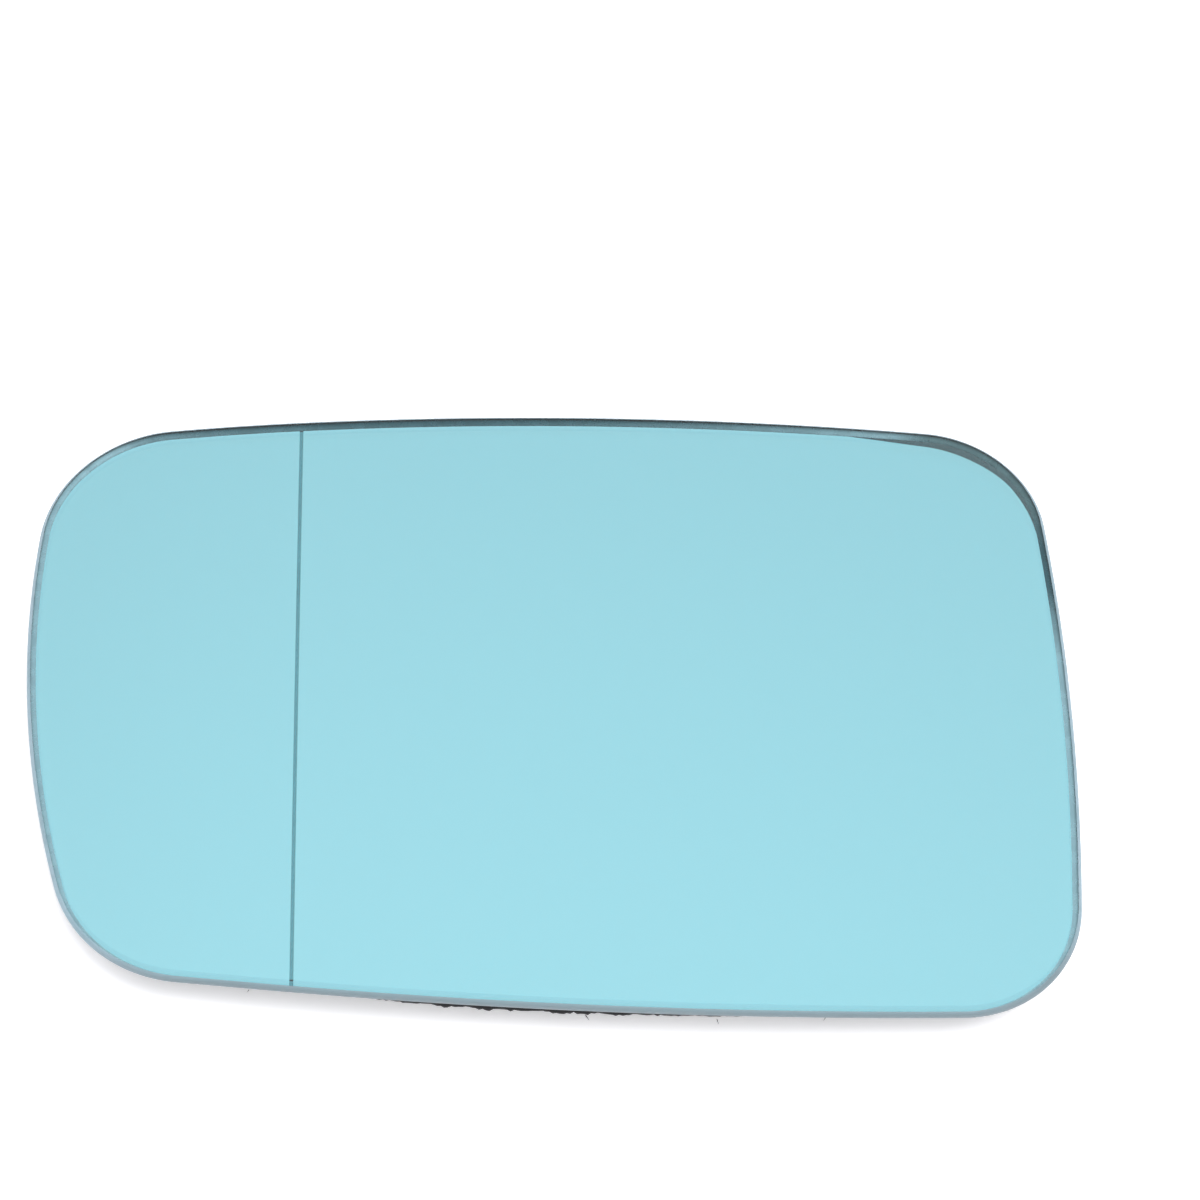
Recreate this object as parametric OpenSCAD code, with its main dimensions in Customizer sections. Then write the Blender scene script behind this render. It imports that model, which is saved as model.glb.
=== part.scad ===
// Heated door mirror glass: a bent pane on a moulded holder that clips to an adjuster.
// Millimetres. The origin is on the axis of the clip ring, at the level where what it holds seats.
// +Z points out of the mirror face, +Y up, +X towards the car and -X to the outer end.

/* [Glass] */
// Overall width of the glass
glass_w = 166; // [150:1:180]
// Overall height of the glass
glass_h = 110; // [104:1:120]
// Thickness of the glass
glass_t = 2; // [1.6:0.1:3]
// Radius of the spherical main zone
main_r = 1300; // [1000:50:2000]
// Radius of the more sharply bent outer zone
outer_zone_r = 530; // [400:10:900]
// Width of the outer zone, from the outer end to the dividing line
outer_zone_w = 43.2; // [36:0.1:52]
// Width of the clear dividing line in the coating
line_w = 0.6; // [0.3:0.1:1]

/* [Outline] */
// Radius of the long curve of the inner side
inner_side_r = 430; // [300:5:600]
// Radius of the long curve of the top side
top_side_r = 1010; // [600:10:1200]
// Radius of the long curve of the outer side
outer_side_r = 172; // [150:1:220]
// Radius of the long curve of the bottom side
bottom_side_r = 755; // [700:5:1200]
// Height of the inner side's widest place, from the middle
inner_peak_y = -0.5; // [-8:0.5:8]
// Place of the top side's highest point, from the middle
top_peak_x = -15; // [-24:1:24]
// Height of the outer side's widest place, from the middle
outer_peak_y = 16; // [5:0.5:18]
// Place of the bottom side's lowest point, from the middle
bottom_peak_x = 50; // [40:1:62]
// Radius of the top inner corner
top_inner_r = 20; // [15:0.5:28]
// Radius of the top outer corner
top_outer_r = 22; // [15:0.5:28]
// Radius of the bottom outer corner
bottom_outer_r = 23.5; // [15:0.5:28]
// Radius of the bottom inner corner
bottom_inner_r = 20; // [15:0.5:28]

/* [Coating and heater film] */
// Gap between one thin layer and the next, filled by glue
bond_gap = 0.03; // [0.01:0.01:0.05]
// Thickness of the reflecting layer
coating_t = 0.1; // [0.05:0.05:0.2]
// Clear margin between the edge of the glass and the coating
coating_inset = 0.9; // [0.5:0.1:1.5]
// Thickness of the heater film
film_t = 0.25; // [0.15:0.05:0.5]
// How far the film stays inside the edge of the plate
film_inset = 0.3; // [0.1:0.1:2]

/* [Heating track] */
// Thickness of the printed track
track_t = 0.12; // [0.1:0.02:0.2]
// Width of the printed track
track_w = 0.95; // [0.7:0.05:1.3]
// Distance from one run of track to the next
track_pitch = 2.5; // [2.2:0.05:2.6]
// Number of long runs in each half
track_rows = 11; // [7:2:11]
// Height of the line between the two halves
track_mid_y = -0.6; // [-2:0.1:2]
// Distance from that line to the first long run
first_row = 12.1; // [11:0.1:13]
// Radius of the first run's bends
first_bend_r = 5; // [4:0.1:6]
// Distance from the ring axis to the outer end's bend centres
outer_bend_x = 35.2; // [34:0.1:38]
// Distance from the ring axis to the inner end's bend centres
inner_bend_x = 36.6; // [34:0.1:38]
// Angle above level at which the inner end's loops turn back
loop_angle = 18; // [12:1:30]
// Number of upright runs in the close square pattern, an even number
upright_count = 30; // [24:2:30]
// Distance between those upright runs
upright_pitch = 2.4; // [2.2:0.05:2.4]
// Distance from the middle line to the low end of the upright runs
upright_low = 1.5; // [1.1:0.1:2]
// Distance from the middle line to the high end of the upright runs
upright_high = 9.8; // [8:0.1:10]
// Distance from the middle line to the feed that leads to a terminal
feed_height = 3.6; // [3:0.1:5]

/* [Terminals] */
// Radius of the round pad that the track ends in
pad_r = 4.5; // [4:0.1:5]
// Distance from the middle line to a terminal
terminal_y = 5.4; // [5.2:0.1:6]
// Distance of the terminals from the middle of their window, towards the car
terminal_shift = 0.9; // [0:0.1:1.5]
// Radius of an eyelet's flange
flange_r = 3; // [2.6:0.1:3.4]
// Thickness of an eyelet's sheet metal
eyelet_t = 0.3; // [0.2:0.05:0.4]
// Outer radius of an eyelet's cup
cup_r = 1.9; // [1.5:0.1:2.2]
// Wall of an eyelet's cup
cup_t = 0.35; // [0.25:0.05:0.5]
// Radius of the small dome in an eyelet's middle
dome_r = 0.7; // [0.5:0.05:0.8]
// Height of an eyelet above its pad
eyelet_h = 1.6; // [1.2:0.1:2]
// Gap between an eyelet and its pad, filled by solder
seat_gap = 0.02; // [0.02:0.01:0.1]

/* [Holder plate] */
// Thickness of the plate
plate_t = 2; // [1.6:0.1:3]
// Gap between the printed track and the plate, filled by glue
glue_gap = 0.03; // [0.02:0.01:0.1]
// Inset of the plate from the glass at the outer end
plate_inset_outer = 3.4; // [2:0.1:6]
// Inset of the plate from the glass at the inner end
plate_inset_inner = 2; // [1:0.1:4]
// Inset of the plate from the glass at the top
plate_inset_top = 0.9; // [0.6:0.1:3]
// Inset of the plate from the glass at the bottom
plate_inset_bottom = 2; // [0.6:0.1:3]
// Width of the two rectangular windows
window_w = 13.5; // [11:0.5:15]
// Height of the two rectangular windows
window_h = 30; // [26:1:36]
// Corner radius of the windows
window_r = 1.3; // [0.5:0.1:3]
// Width of plate left between the clip ring and a window
window_gap = 4.4; // [3.6:0.1:6]
// Height of the windows' middle above the ring axis
window_y = -1; // [-3:0.5:3]

/* [Clip ring and spider] */
// Distance of the ring axis from the outline's middle, towards the outer end
ring_shift_x = 6.2; // [0:0.1:10]
// Distance of the ring axis below the outline's middle
ring_shift_y = 2; // [0:0.1:5]
// Inner radius of the clip ring
ring_r = 42; // [38:0.5:44]
// Wall of the clip ring
ring_wall = 1.2; // [1:0.1:2]
// Height of the clip ring's rim behind the seat
ring_h = 4.3; // [4:0.1:7]
// Distance from the seat to the plate's back under the middle of the glass
seat_drop = 1.1; // [1:0.1:1.5]
// Depth of the relief groove between the seat and the ring's root
relief = 0.5; // [0.5:0.05:0.7]
// Width of the ledge between the ring's inner face and the openings
ledge_w = 0.5; // [0.5:0.1:1]
// Width of the slots in the ring
slot_w = 0.4; // [0.3:0.1:1]
// Depth of the slots, from the rim
slot_depth = 3.9; // [2:0.1:3.9]
// Angle of the slots from upright
slot_angle = 24; // [20:1:25]
// Half the width of a spider arm
arm_half_w = 5; // [4:0.1:8]
// Radius with which the arms widen into the hub
web_r = 31; // [26:0.5:32]
// Radius of the hole in the hub
hub_hole_r = 9.7; // [6:0.1:11]
// Width of the pocket at the root of each arm
pocket_w = 9.6; // [6:0.1:9.8]
// How far the pocket runs into the arm
pocket_in = 1.1; // [0.5:0.1:2]
// Height of the pocket in the ring wall
pocket_h = 2; // [1.2:0.1:3]

/* [Clip hooks] */
// Height of the hooks behind the seat
hook_h = 9.6; // [8:0.1:13]
// How far the hooks' inner faces stand back from the ring's
hook_set = 0.6; // [0.5:0.1:0.8]
// Thickness of the hooks' wall
hook_t = 1.2; // [1:0.1:1.6]
// How far the ribs reach out from the ring wall
rib_reach = 2.2; // [1.5:0.1:3]
// Thickness of the ribs
rib_t = 1; // [0.8:0.1:1.4]
// Angle at which the narrow hook starts, from upright
narrow_start = 26.6; // [26:0.2:28]
// Angle at which the narrow hook ends
narrow_end = 34; // [32:0.5:36]
// Angle of the rib that stands by itself
lone_rib = 40; // [38:0.5:44]
// Angle at which the wide hook starts
wide_start = 54; // [50:0.5:56]
// Angle at which the wide hook ends
wide_end = 65; // [62:0.5:68]

/* [Hidden] */
$fn = 96;
big_fn = 256;
eps = 0.01;

// Outline, about the ring axis, as [inner, top, outer, bottom] sides in anticlockwise order
centre = [ring_shift_x, ring_shift_y];
side_r = [inner_side_r, top_side_r, outer_side_r, bottom_side_r];
side_c = [[glass_w / 2 - inner_side_r, inner_peak_y], [top_peak_x, glass_h / 2 - top_side_r],
          [outer_side_r - glass_w / 2, outer_peak_y], [bottom_peak_x, bottom_side_r - glass_h / 2]];
corner_r = [top_inner_r, top_outer_r, bottom_outer_r, bottom_inner_r];
plate_inset = [plate_inset_inner, plate_inset_top, plate_inset_outer, plate_inset_bottom];
level = [1, 1, 1, 1];

// Depths of the layers below the mirror face
coating_d = glass_t + bond_gap;
film_d = coating_d + coating_t + bond_gap;
track_d = film_d + film_t + bond_gap;
plate_d = track_d + track_t + glue_gap;
plate_back_d = plate_d + plate_t;
face_z = plate_back_d + seat_drop;
split_x = outer_zone_w - glass_w / 2;

// The bent sheets reach past the outline by this much all round before they are cut to it
spare = 10;
sheet_reach = glass_w / 2 + spare;
bend_span = 2 * asin((glass_h / 2 + 2 * spare) / main_r);
// Height of a block that cuts through every layer, with its middle at the seat
cutter_h = 60;

// Ring and windows
ring_out = ring_r + ring_wall;
window_x = ring_out + window_gap + window_w / 2;
terminal_x = window_x + terminal_shift;
// What stands behind the plate starts inside it, the ring a little deeper than the ribs
sink = 0.2;
ring_root = seat_drop + sink;
pocket_top = seat_drop + sink / 2;

function unit(v) = v / norm(v);
function left(v) = [-v.y, v.x];
function reversed(list) = [for (i = [len(list) - 1:-1:0]) list[i]];

// Where two circles meet, on the left of the line from the first centre to the second
function meet(c0, d0, c1, d1) =
    let (gap = norm(c1 - c0), along = (d0 * d0 - d1 * d1 + gap * gap) / (2 * gap))
    c0 + along * unit(c1 - c0) + sqrt(d0 * d0 - along * along) * unit(left(c1 - c0));

// Points along an arc, without its last, about one step apart
function arc_points(c, r, from, to, step) =
    let (span = (to - from + 360) % 360, n = ceil(span / 360 * 2 * PI * r / step))
    [for (k = [0:n - 1]) let (a = from + span * k / n) c + r * [cos(a), sin(a)]];
function bearing(v) = atan2(v.y, v.x);

// Outline of the glass with each side moved in by its inset: four long arcs joined by round corners
side_step = 8;
corner_step = 2;
module plan(inset) {
    r = side_r - inset;
    round_r = [for (i = [0:3]) corner_r[i] - (inset[i] + inset[(i + 1) % 4]) / 2];
    round_c = [for (i = [0:3]) let (j = (i + 1) % 4)
        meet(side_c[i], r[i] - round_r[i], side_c[j], r[j] - round_r[i])];
    translate(centre) polygon([for (i = [0:3])
        let (start = bearing(round_c[(i + 3) % 4] - side_c[i]), end = bearing(round_c[i] - side_c[i]),
             turned = bearing(round_c[i] - side_c[(i + 1) % 4]))
        each concat(arc_points(side_c[i], r[i], start, end, side_step),
                    arc_points(round_c[i], round_r[i], end, turned, corner_step))]);
}

// The section along X, as [distance from the bend axis, X], with its outer zone's centre
split = [sqrt(main_r * main_r - split_x * split_x), split_x];
zone_c = split * (1 - outer_zone_r / main_r);

// Everything below one depth in the section
module section_below(depth) {
    difference() {
        circle(main_r - depth, $fn = big_fn);
        difference() {
            polygon([zone_c, split, split + spare * unit(split - zone_c), [main_r + spare, -glass_w],
                     [zone_c.x, -glass_w]]);
            translate(zone_c) circle(outer_zone_r - depth, $fn = big_fn);
        }
    }
}

// Turns a section about the bend axis, wider and higher than the glass
module bend() {
    translate([centre.x, centre.y, face_z - main_r])
        rotate([0, 90, 0]) rotate([0, 0, 180 - bend_span / 2])
            rotate_extrude(angle = bend_span, $fn = big_fn) children();
}

// A smooth bent sheet between two depths
module bent_sheet(from, to) {
    bend() intersection() {
        difference() { section_below(from); section_below(to); }
        translate([main_r - cutter_h, -sheet_reach]) square([cutter_h + spare, 2 * sheet_reach]);
    }
}

// A point of the section at one depth
function section_point(x, depth) = x < split_x
    ? [zone_c.x + sqrt(pow(outer_zone_r - depth, 2) - pow(x - zone_c.y, 2)), x]
    : [sqrt(pow(main_r - depth, 2) - x * x), x];

// The same sheet in narrow straight bands, for the plate that everything else is moulded onto
module banded_sheet(from, to) {
    bands = ceil(2 * sheet_reach / side_step);
    places = [for (i = [0:bands]) sheet_reach * (2 * i / bands - 1)];
    bend() polygon(concat([for (x = places) section_point(x, from)],
                          [for (x = reversed(places)) section_point(x, to)]));
}

// A flat outline made a block that reaches through every layer
module block() {
    linear_extrude(cutter_h, center = true) children();
}

// A bent layer cut to flat outlines
module bent_layer(from, to) {
    intersection() {
        bent_sheet(from, to);
        for (i = [0:$children - 1]) block() children(i);
    }
}

// Puts its children on the curved face at a depth, square to it
module on_face(x, y, depth) {
    tilt_y = asin((x - centre.x) / main_r);
    tilt_x = -asin((y - centre.y) / main_r);
    translate([centre.x, centre.y, face_z - main_r])
        rotate([tilt_x, tilt_y, 0]) translate([0, 0, main_r - depth]) children();
}

module mirror_glass() {
    color("lightcyan", 0.5) bent_layer(0, glass_t) plan(0 * level);
}

module mirror_coating() {
    color("lightblue") bent_layer(coating_d, coating_d + coating_t) difference() {
        plan(coating_inset * level);
        translate([centre.x + split_x - line_w / 2, centre.y - glass_h]) square([line_w, 2 * glass_h]);
    }
}

module heater_film() {
    color("gainsboro") bent_layer(film_d, film_d + film_t) plan(plate_inset + film_inset * level);
}

// Heating track. Its points are [x, distance from the middle line], away from that line in both halves.
outer_breaks = [1, 0, 2, -1, 1];
bend_y = first_row - first_bend_r;
function bend_r(row) = first_bend_r + (row - 1) * track_pitch;
function arc(c, r, from, to) =
    let (n = 4 + ceil(r / 4))
    [for (k = [0:n]) let (a = from + (to - from) * k / n) c + r * [cos(a), sin(a)]];

// One run, from the inner end to the outer end
function run(row, half) =
    let (last = row == track_rows,
         pair = floor(row / 2) - 1,
         foot = row == 1 ? upright_low
              : half * outer_breaks[pair] * track_pitch + track_pitch / 2)
    concat(last ? [[inner_bend_x + bend_r(row), feed_height]] : [],
           arc([inner_bend_x, bend_y], bend_r(row), last ? 0 : loop_angle, 90),
           arc([-outer_bend_x, bend_y], bend_r(row), 90, 180),
           [[-outer_bend_x - bend_r(row), foot]]);

// The long runs in turn, from the terminal to the first row's foot
function long_runs(half) = [for (row = [track_rows:-1:1])
    each ((track_rows - row) % 2 == 0 ? run(row, half) : reversed(run(row, half)))];

// The square pattern, ending at the high end of its last upright run
first_upright_x = -upright_pitch * (upright_count - 1) / 2;
function uprights() = concat([[first_upright_x, upright_low]],
    [for (i = [0:upright_count - 1]) let (x = first_upright_x + i * upright_pitch)
        each (i % 2 == 0 ? (i == 0 ? [[x, upright_high]] : [[x, upright_low], [x, upright_high]])
            : i == upright_count - 1 ? [[x, upright_high]] : [[x, upright_high], [x, upright_low]])]);

function half_track(half) = [for (p = concat([[terminal_x, feed_height]], long_runs(half), uprights()))
    [p.x, track_mid_y + half * p.y]];

// The edge of a band along a line of points
function band_edge(line, reach) = [for (i = [0:len(line) - 1])
    let (a = unit(i == 0 ? line[1] - line[0] : line[i] - line[i - 1]),
         b = i == len(line) - 1 ? a : unit(line[i + 1] - line[i]))
    line[i] + reach * left(a + b) / (1 + a * b)];

module heater_track() {
    line = concat(half_track(1), reversed(half_track(-1)));
    color("whitesmoke") bent_layer(track_d, track_d + track_t) {
        polygon(concat(band_edge(line, track_w / 2), reversed(band_edge(line, -track_w / 2))));
        for (half = [-1, 1]) translate([terminal_x, track_mid_y + half * terminal_y]) circle(pad_r);
    }
}

// A pressed eyelet: flange on the pad, hollow cup and a small dome in its middle
module eyelet(half) {
    color("goldenrod") on_face(terminal_x, track_mid_y + half * terminal_y, track_d + track_t + seat_gap)
        mirror([0, 0, 1]) {
            rotate_extrude() difference() {
                union() {
                    square([flange_r, eyelet_t]);
                    square([cup_r, eyelet_h]);
                }
                translate([-eps, eyelet_t]) square([cup_r - cup_t + eps, eyelet_h]);
            }
            intersection() {
                translate([0, 0, eyelet_t]) sphere(dome_r);
                cylinder(h = eyelet_h, r = dome_r + eps);
            }
        }
}

module eyelet_upper() { eyelet(1); }
module eyelet_lower() { eyelet(-1); }

// A rectangle with round corners
module rounded(w, h, r) {
    polygon([for (i = [0:3]) let (a = 90 * i, x = i == 0 || i == 3 ? 1 : -1, y = i < 2 ? 1 : -1)
        each concat(arc_points([x * (w / 2 - r), y * (h / 2 - r)], r, a, a + 90, r / 2),
                    [[x * (w / 2 - r), y * (h / 2 - r)] + r * [cos(a + 90), sin(a + 90)]])]);
}

// One of the four openings between the arms, right above the axis
module spider_opening() {
    reach = arm_half_w + web_r;
    edge_r = ring_r - ledge_w;
    start = asin(arm_half_w / edge_r);
    polygon(concat(arc_points([0, 0], edge_r, start, 90 - start, corner_step),
                   [[arm_half_w, edge_r * cos(start)]],
                   arc_points([reach, reach], web_r, 180, 270, corner_step), [[reach, arm_half_w]]));
}

// Copies its children into all four quarters of the ring
module quarters() {
    for (x = [0, 1], y = [0, 1]) mirror([x, 0, 0]) mirror([0, y, 0]) children();
}

// Outline of the plate with its openings
module plate_plan() {
    difference() {
        plan(plate_inset);
        for (x = [-1, 1]) translate([x * window_x, window_y]) rounded(window_w, window_h, window_r);
        quarters() spider_opening();
        circle(hub_hole_r);
    }
}

// Clip ring, with a relief groove at its root so that what it holds can seat
module clip_ring() {
    rotate_extrude() translate([ring_r, 0]) polygon([[0, -ring_h], [ring_wall, -ring_h],
        [ring_wall, ring_root], [relief, ring_root], [relief, 0], [0, 0]]);
}

// A stretch of wall on the ring between two angles from upright
module wall_arc(from, to) {
    rotate([0, 0, 90 - to]) rotate_extrude(angle = to - from) translate([ring_r + hook_set, -hook_h])
        square([hook_t, hook_h + ring_root]);
}

// A radial rib behind the plate, outside the ring, its middle at an angle from upright
module rib(angle) {
    start = ring_r + ring_wall / 2;
    rotate([0, 0, 90 - angle]) translate([start, -rib_t / 2, -hook_h])
        cube([ring_wall / 2 + rib_reach, rib_t, hook_h + seat_drop]);
}

// The clip hooks of one quarter
module hooks() {
    half_rib = asin(rib_t / 2 / ring_r);
    wall_arc(narrow_start, narrow_end);
    rib(narrow_end - half_rib);
    wall_arc(lone_rib - half_rib, lone_rib + half_rib);
    rib(lone_rib);
    wall_arc(wide_start, wide_end);
    rib(wide_start + half_rib);
    rib(wide_end - half_rib);
}

module back_plate() {
    color("#26262a") difference() {
        union() {
            intersection() {
                banded_sheet(plate_d, plate_back_d);
                block() plate_plan();
            }
            clip_ring();
            quarters() hooks();
        }
        quarters() rotate([0, 0, 90 - slot_angle]) translate([ring_r - 1, -slot_w / 2, -ring_h - 1])
            cube([ring_wall + 2, slot_w, slot_depth + 1]);
        for (a = [0:90:270]) rotate([0, 0, a])
            translate([ring_r - pocket_in, -pocket_w / 2, pocket_top - pocket_h])
                cube([pocket_in + ring_wall + sink, pocket_w, pocket_h]);
    }
}

mirror_glass();
mirror_coating();
heater_film();
heater_track();
eyelet_upper();
eyelet_lower();
back_plate();
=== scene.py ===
"""Heated door mirror glass: the looks of its pane, layers, terminals and moulded holder."""

import logging
import math
from dataclasses import dataclass
from enum import Enum
from typing import Any, Iterable, Sequence

import bmesh
import bpy
from mathutils import Euler, Matrix, Vector, noise


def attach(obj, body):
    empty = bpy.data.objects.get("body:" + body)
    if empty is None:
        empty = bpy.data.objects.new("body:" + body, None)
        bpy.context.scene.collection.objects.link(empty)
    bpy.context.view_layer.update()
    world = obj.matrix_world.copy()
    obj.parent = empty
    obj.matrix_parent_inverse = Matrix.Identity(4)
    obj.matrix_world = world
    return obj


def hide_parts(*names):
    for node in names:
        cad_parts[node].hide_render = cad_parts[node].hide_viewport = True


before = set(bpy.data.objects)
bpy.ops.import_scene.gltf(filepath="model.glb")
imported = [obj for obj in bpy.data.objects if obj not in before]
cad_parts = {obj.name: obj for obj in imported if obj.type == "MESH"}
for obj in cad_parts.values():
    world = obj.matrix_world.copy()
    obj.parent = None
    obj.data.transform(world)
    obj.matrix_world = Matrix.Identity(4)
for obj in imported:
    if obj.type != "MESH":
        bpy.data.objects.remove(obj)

log = logging.getLogger("mirror_glass")
MM = 0.001
Point = tuple[float, float]
Point3 = tuple[float, float, float]
Colour = tuple[float, float, float]
Sides = tuple[float, float, float, float]
Socket = bpy.types.NodeSocket
Material = bpy.types.Material
Piece = bpy.types.Object

PLATE_INSETS: Sides = (2.0, 0.9, 3.4, 2.0)
CORNER_X: Point = (0.054, 0.071)
CORNER_Y: Point = (0.031, 0.040)
TERMINAL_X = 55.25
TERMINAL_Y = {"upper": 4.8, "lower": -6.0}


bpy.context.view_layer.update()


# Materials


class NodeBuilder:
    """A node tree under construction."""

    def __init__(self, tree: bpy.types.NodeTree) -> None:
        """Takes a tree over and empties it."""
        self.tree = tree
        self.tree.nodes.clear()

    def node(self, kind: str, sockets: dict[str | int, Any] | None = None, **settings: Any) -> bpy.types.Node:
        """Adds a node.

        Args:
            kind: The node's type name.
            sockets: What its inputs take, by name or number.
            settings: Its properties, by name.

        Returns:
            The new node.
        """
        made = self.tree.nodes.new(kind)
        for key, value in settings.items():
            setattr(made, key, value)
        for key, value in (sockets or {}).items():
            self.feed(made.inputs[key], value)
        return made

    def feed(self, slot: Socket, value: Any) -> None:
        """Gives an input another node's output, a colour or a plain value.

        Args:
            slot: The input.
            value: What it takes.
        """
        if isinstance(value, Socket):
            self.tree.links.new(value, slot)
        else:
            slot.default_value = (*value, 1.0) if isinstance(value, tuple) else value

    def part(self, vector: Socket, axis: str) -> Socket:
        """One of a vector's three numbers."""
        return self.node("ShaderNodeSeparateXYZ", {0: vector}).outputs[axis]

    def math(self, operation: str, *values: Any) -> Socket:
        """One arithmetic step on numbers or outputs."""
        return self.node("ShaderNodeMath", dict(enumerate(values)), operation=operation).outputs[0]

    def span(self, value: Socket, low: float, high: float, to_low: float = 0.0,
             to_high: float = 1.0) -> Socket:
        """Maps a value from one range to another, held at the ends.

        Args:
            value: The value.
            low: Where its range starts.
            high: Where its range ends.
            to_low: What the start becomes.
            to_high: What the end becomes.

        Returns:
            The mapped value.
        """
        sockets = {"Value": value, "From Min": low, "From Max": high, "To Min": to_low, "To Max": to_high}
        return self.node("ShaderNodeMapRange", sockets).outputs["Result"]


class Shader(NodeBuilder):
    """A material's tree, with short calls for what every finish needs."""

    def __init__(self, name: str) -> None:
        """Starts an empty material.

        Args:
            name: The material's name.
        """
        self.material = bpy.data.materials.new(name)
        self.material.use_nodes = True
        super().__init__(self.material.node_tree)
        self.place = self.node("ShaderNodeTexCoord").outputs["Object"]

    def along(self, axis: str) -> Socket:
        """The place along one of the piece's axes, in metres."""
        return self.part(self.place, axis)

    def noise(self, scale: float, detail: float = 2.0, roughness: float = 0.5) -> Socket:
        """A noise pattern fixed to the piece.

        Args:
            scale: Cycles per metre.
            detail: Octaves.
            roughness: Share of each finer octave.

        Returns:
            The pattern's value, from 0 to 1.
        """
        sockets = {"Scale": scale, "Detail": detail, "Roughness": roughness, "Vector": self.place}
        return self.node("ShaderNodeTexNoise", sockets).outputs["Fac"]

    def top_corner(self) -> Socket:
        """Share of the pane's top inner corner, where the dark lacquer, partly a painted reflection of a dark
        object behind the pane, lies wider and paler.
        """
        across, up = self.span(self.along("X"), *CORNER_X), self.span(self.along("Y"), *CORNER_Y)
        return self.math("MULTIPLY", across, up)

    def mix(self, share: Socket, first: Any, second: Any) -> Socket:
        """Blends two colours.

        Args:
            share: The second colour's share.
            first: A colour or an output.
            second: A colour or an output.

        Returns:
            The blended colour.
        """
        made = self.node("ShaderNodeMix", {"Factor": share}, data_type="RGBA")
        for key, value in (("A", first), ("B", second)):
            self.feed(next(slot for slot in made.inputs if slot.name == key and slot.type == "RGBA"), value)
        return next(slot for slot in made.outputs if slot.type == "RGBA")

    def bump(self, height: Socket, distance: float, strength: float, normal: Socket | None = None) -> Socket:
        """Turns a height pattern into a normal.

        Args:
            height: The pattern.
            distance: Height of its whole range in metres.
            strength: Share of it that shows.
            normal: The normal that it changes, or None for the face's own.

        Returns:
            The normal.
        """
        made = self.node("ShaderNodeBump", {"Height": height, "Distance": distance, "Strength": strength})
        if normal is not None:
            self.feed(made.inputs["Normal"], normal)
        return made.outputs["Normal"]

    def surface(self, sockets: dict[str, Any]) -> Material:
        """Ends the tree with the main shader.

        Args:
            sockets: Its inputs, by name, as numbers, colours or outputs.

        Returns:
            The finished material.
        """
        shader = self.node("ShaderNodeBsdfPrincipled", sockets)
        self.node("ShaderNodeOutputMaterial", {"Surface": shader.outputs[0]})
        return self.material


@dataclass(frozen=True)
class PaneGlass:
    """Clear, slightly green float glass."""

    name: str = "pane_glass"
    tint: Colour = (0.92, 0.975, 0.98)
    ior: float = 1.5

    def material(self) -> Material:
        """The polished faces.

        Returns:
            The finish.
        """
        shader = Shader(self.name)
        smear = shader.span(shader.noise(60.0, 3.0), 0.35, 0.75, 0.0, 0.02)
        return shader.surface({
            "Base Color": self.tint,
            "Roughness": smear,
            "IOR": self.ior,
            "Transmission Weight": 1.0,
        })


@dataclass(frozen=True)
class GroundEdge:
    """The finely ground outer edge of the pane."""

    frosted: Colour = (0.37, 0.51, 0.58)
    rubbed: Colour = (0.29, 0.43, 0.49)
    # painted shade: this grey on the bottom of the edge stands for the shade under the pane
    low: Colour = (0.23, 0.30, 0.33)
    painted_shade_y: Point = (-0.046, -0.036)

    def material(self) -> Material:
        """Frosted glass, rubbed clearer in places, with painted shade making it greyer along the bottom.

        Returns:
            The finish.
        """
        shader = Shader("ground_edge")
        wear = shader.span(shader.noise(220.0, 3.0), 0.4, 0.7)
        # painted shade: share of the grey, rising towards the bottom of the edge
        painted_shade_share = shader.span(shader.along("Y"), *self.painted_shade_y, 1.0, 0.0)
        return shader.surface({
            "Base Color": shader.mix(painted_shade_share, shader.mix(wear, self.frosted, self.rubbed), self.low),
            "Roughness": shader.span(wear, 0.0, 1.0, 0.42, 0.3),
            "IOR": 1.5,
            "Transmission Weight": 0.3,
            "Normal": shader.bump(shader.noise(1500.0), 0.01 * MM, 0.2),
        })


@dataclass(frozen=True)
class CoatedArris:
    """The rounded back edge: thin coating, with dark lacquer over it along the top and the inner end, partly
    real lacquer and partly a painted reflection of a dark object behind the pane.
    """

    coated: Colour = (0.42, 0.66, 0.74)
    # partly painted reflection: this dark tone along the top and the inner end stands partly for a dark
    # object reflected from behind the pane
    lacquer_and_dark_reflection: Colour = (0.06, 0.15, 0.18)
    pale: Colour = (0.14, 0.24, 0.26)
    top_y: Point = (0.0525, 0.056)
    end_x: Point = (0.060, 0.070)
    end_y: Point = (0.010, 0.024)

    def material(self) -> Material:
        """The coated edge, as it shows through the pane.

        Returns:
            The finish.
        """
        shader = Shader("coated_arris")
        # painted reflection, in part: the dark band along the top and down the inner end
        top = shader.span(shader.along("Y"), *self.top_y)
        end = shader.span(shader.along("X"), *self.end_x)
        end = shader.math("MULTIPLY", end, shader.span(shader.along("Y"), *self.end_y))
        lacquer = shader.mix(shader.top_corner(), self.lacquer_and_dark_reflection, self.pale)
        return shader.surface({
            "Base Color": shader.mix(shader.math("MAXIMUM", top, end), self.coated, lacquer),
            "Metallic": 1.0,
            "Roughness": shader.span(shader.noise(400.0), 0.3, 0.7, 0.2, 0.35),
        })


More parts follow.
